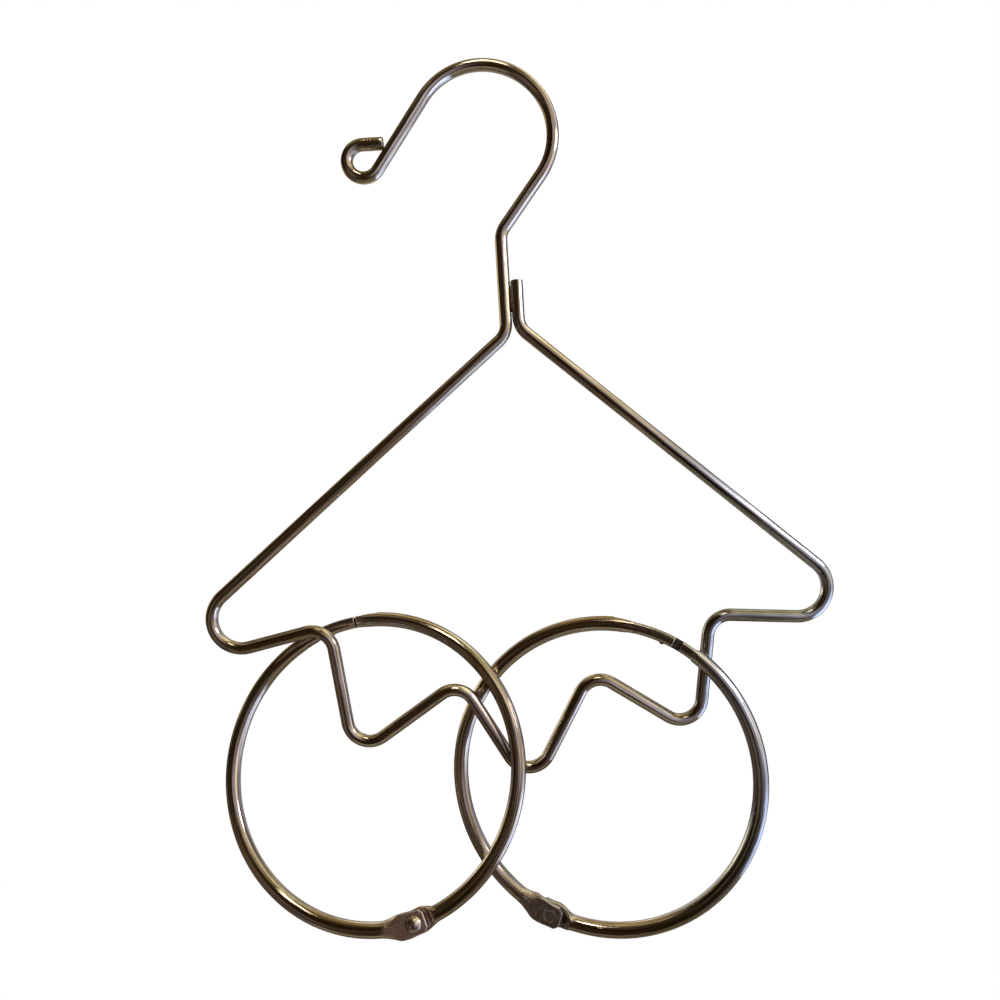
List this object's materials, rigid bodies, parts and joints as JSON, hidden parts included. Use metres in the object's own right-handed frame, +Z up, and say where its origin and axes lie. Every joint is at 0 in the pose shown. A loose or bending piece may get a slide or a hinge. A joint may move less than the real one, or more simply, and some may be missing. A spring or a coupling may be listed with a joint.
{
  "type": "scarf hanger",
  "caption": "Small one-piece wire hanger with an eye-tipped hook, a welded neck and a wavy bottom bar, carrying two hinged snap rings for scarves.",
  "frame": {"origin": "seat of the hook: the top of its inside, where it rests on a rail, in the wire's middle plane", "axes": "+Z up along the neck, +X to the right seen from the front, +Y away from the front; the hanger wire lies in the plane Y = 0"},
  "size_m": [0.1699, 0.0295, 0.2362],
  "materials": {
    "plated_hanger_wire": "steel wire plated in a warm bronze nickel, satin with faint drawing lines",
    "plated_ring_wire": "steel wire plated in a warm bronze nickel, satin, with pressed flats",
    "rivet_steel": "bare headed steel, brighter than the wire",
    "weld_metal": "dull plated weld"
  },
  "bodies": {
    "hanger": {"hanger_wire": "plated_hanger_wire", "neck_weld": "weld_metal"},
    "left_ring": {"left_ring_tongue_half": "plated_ring_wire", "left_ring_rivet": "rivet_steel"},
    "left_ring_gate": {"left_ring_socket_half": "plated_ring_wire"},
    "right_ring": {"right_ring_tongue_half": "plated_ring_wire", "right_ring_rivet": "rivet_steel"},
    "right_ring_gate": {"right_ring_socket_half": "plated_ring_wire"}
  },
  "joints": [
    {"name": "left_ring_swivel", "type": "hinge", "parent": "hanger", "child": "left_ring", "pos_m": [-0.0083, 0, -0.1748], "axis": [0, 0, -1], "range_deg": [0, 50]},
    {"name": "left_ring_hinge", "type": "hinge", "parent": "left_ring", "child": "left_ring_gate", "pos_m": [-0.02892, -0.01095, -0.22297], "axis": [-0.1338, -0.9519, 0.2756], "range_deg": [0, 100]},
    {"name": "right_ring_swivel", "type": "hinge", "parent": "hanger", "child": "right_ring", "pos_m": [0.028, 0, -0.1682], "axis": [0, 0, -1], "range_deg": [0, 90]},
    {"name": "right_ring_hinge", "type": "hinge", "parent": "right_ring", "child": "right_ring_gate", "pos_m": [0.00609, -0.00179, -0.2272], "axis": [0.1983, 0.9746, -0.1045], "range_deg": [0, 100]}
  ]
}
